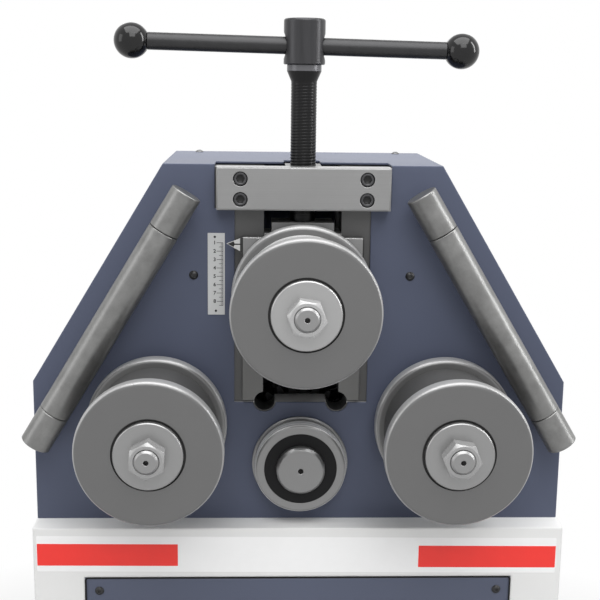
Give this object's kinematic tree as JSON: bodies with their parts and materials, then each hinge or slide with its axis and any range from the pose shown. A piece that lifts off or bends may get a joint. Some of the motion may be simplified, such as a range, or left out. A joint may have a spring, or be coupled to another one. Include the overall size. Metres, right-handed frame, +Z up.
{
  "type": "ring roller",
  "caption": "Floor-standing ring roller with driven lower rolls, an upper roll pressed down by a screw with a tommy bar, slanted side guide rollers and a sheet metal cabinet.",
  "frame": {"origin": "on the floor, in the middle of the machine's outline seen from above, balls and roll ends included", "axes": "+Z up, -Y towards the front where the rolls are, +X to the right seen from the front"},
  "size_m": [0.6568, 0.6066, 1.22],
  "materials": {
    "cabinet_white": "satin powder coat",
    "blue_paint": "satin powder coat",
    "frame_steel": "ground, dark",
    "roll_steel": "turned, satin",
    "drum_steel": "hardened, dark",
    "bright_steel": "brushed",
    "black_oxide": "oiled black",
    "ball_black": "gloss",
    "seal_black": "matte",
    "bronze": "machined",
    "cast": "painted dark",
    "foot_black": "matte",
    "plate_white": "matte",
    "pointer_white": "matte"
  },
  "bodies": {
    "machine": {"cabinet_shell": "cabinet_white", "base_feet": "foot_black", "service_panel": "blue_paint", "vent_panel": "blue_paint", "head_cover": "blue_paint", "rear_cover": "blue_paint", "cover_screws": "black_oxide", "front_plate": "frame_steel", "rear_plate": "frame_steel", "spacers": "frame_steel", "tie_bolts": "black_oxide", "crossbar": "bright_steel", "crossbar_screws": "black_oxide", "screw_nut": "bronze", "guide_strips": "bright_steel", "scale_plate": "plate_white", "lower_bearings": "bright_steel", "guide_end_blocks": "roll_steel", "guide_axles": "bright_steel", "centre_axle": "roll_steel", "centre_race": "bright_steel", "gearbox": "cast", "motor": "blue_paint"},
    "slide": {"slide_carriage": "frame_steel", "slide_flange": "bright_steel", "pointer": "pointer_white", "upper_bearings": "bright_steel", "thrust_pad": "bronze", "foot_keeper": "frame_steel"},
    "screw": {"pressure_screw": "black_oxide"},
    "bar": {"tommy_bar": "black_oxide", "ball_knobs": "ball_black"},
    "upper_roll": {"upper_shaft": "roll_steel", "upper_back_disc": "roll_steel", "upper_drum": "drum_steel", "upper_front_disc": "roll_steel", "upper_washer": "bright_steel", "upper_nuts": "bright_steel", "upper_key": "bright_steel"},
    "left_roll": {"left_shaft": "roll_steel", "left_gear": "drum_steel", "left_back_disc": "roll_steel", "left_drum": "drum_steel", "left_front_disc": "roll_steel", "left_washer": "bright_steel", "left_nuts": "bright_steel", "left_key": "bright_steel"},
    "right_roll": {"right_shaft": "roll_steel", "right_gear": "drum_steel", "right_back_disc": "roll_steel", "right_drum": "drum_steel", "right_front_disc": "roll_steel", "right_washer": "bright_steel", "right_nuts": "bright_steel", "right_key": "bright_steel"},
    "centre_roller_body": {"centre_roller": "roll_steel", "centre_seals": "seal_black"},
    "left_guide": {"left_sleeve": "roll_steel"},
    "right_guide": {"right_sleeve": "roll_steel"},
    "pinion": {"drive_pinion": "drum_steel"}
  },
  "joints": [
    {"name": "slide_height", "type": "slide", "parent": "machine", "child": "slide", "axis": [0, 0, 1], "range_m": [-0.067, 0.012]},
    {"name": "screw_turn", "type": "hinge", "parent": "slide", "child": "screw", "pos_m": [0, -0.12375, 1.189], "axis": [0, 0, 1], "range_deg": [-6895, 1240]},
    {"name": "bar_slide", "type": "slide", "parent": "screw", "child": "bar", "axis": [0.9998, 0, -0.0192], "range_m": [-0.14, 0.156]},
    {"name": "upper_roll_turn", "type": "hinge", "parent": "slide", "child": "upper_roll", "pos_m": [0, -0.14375, 0.904], "axis": [0, -1, 0], "continuous": true},
    {"name": "left_roll_turn", "type": "hinge", "parent": "machine", "child": "left_roll", "pos_m": [-0.171, -0.14375, 0.747], "axis": [0, -1, 0], "continuous": true},
    {"name": "right_roll_turn", "type": "hinge", "parent": "machine", "child": "right_roll", "pos_m": [0.171, -0.14375, 0.747], "axis": [0, -1, 0], "continuous": true},
    {"name": "pinion_turn", "type": "hinge", "parent": "machine", "child": "pinion", "pos_m": [0, -0.14375, 0.7098], "axis": [0, -1, 0], "continuous": true},
    {"name": "centre_roller_turn", "type": "hinge", "parent": "machine", "child": "centre_roller_body", "pos_m": [0, -0.14375, 0.693], "axis": [0, -1, 0], "continuous": true},
    {"name": "left_guide_turn", "type": "hinge", "parent": "machine", "child": "left_guide", "pos_m": [-0.22495, -0.17575, 0.87211], "axis": [0.5169, 0, 0.856], "continuous": true},
    {"name": "right_guide_turn", "type": "hinge", "parent": "machine", "child": "right_guide", "pos_m": [0.22495, -0.17575, 0.87211], "axis": [-0.5169, 0, 0.856], "continuous": true}
  ],
  "couplings": [
    {"joint": "screw_turn", "follows": "slide_height", "rad_per_m": 1795.2},
    {"joint": "right_roll_turn", "follows": "left_roll_turn", "ratio": 1},
    {"joint": "pinion_turn", "follows": "left_roll_turn", "ratio": -1.6923}
  ]
}
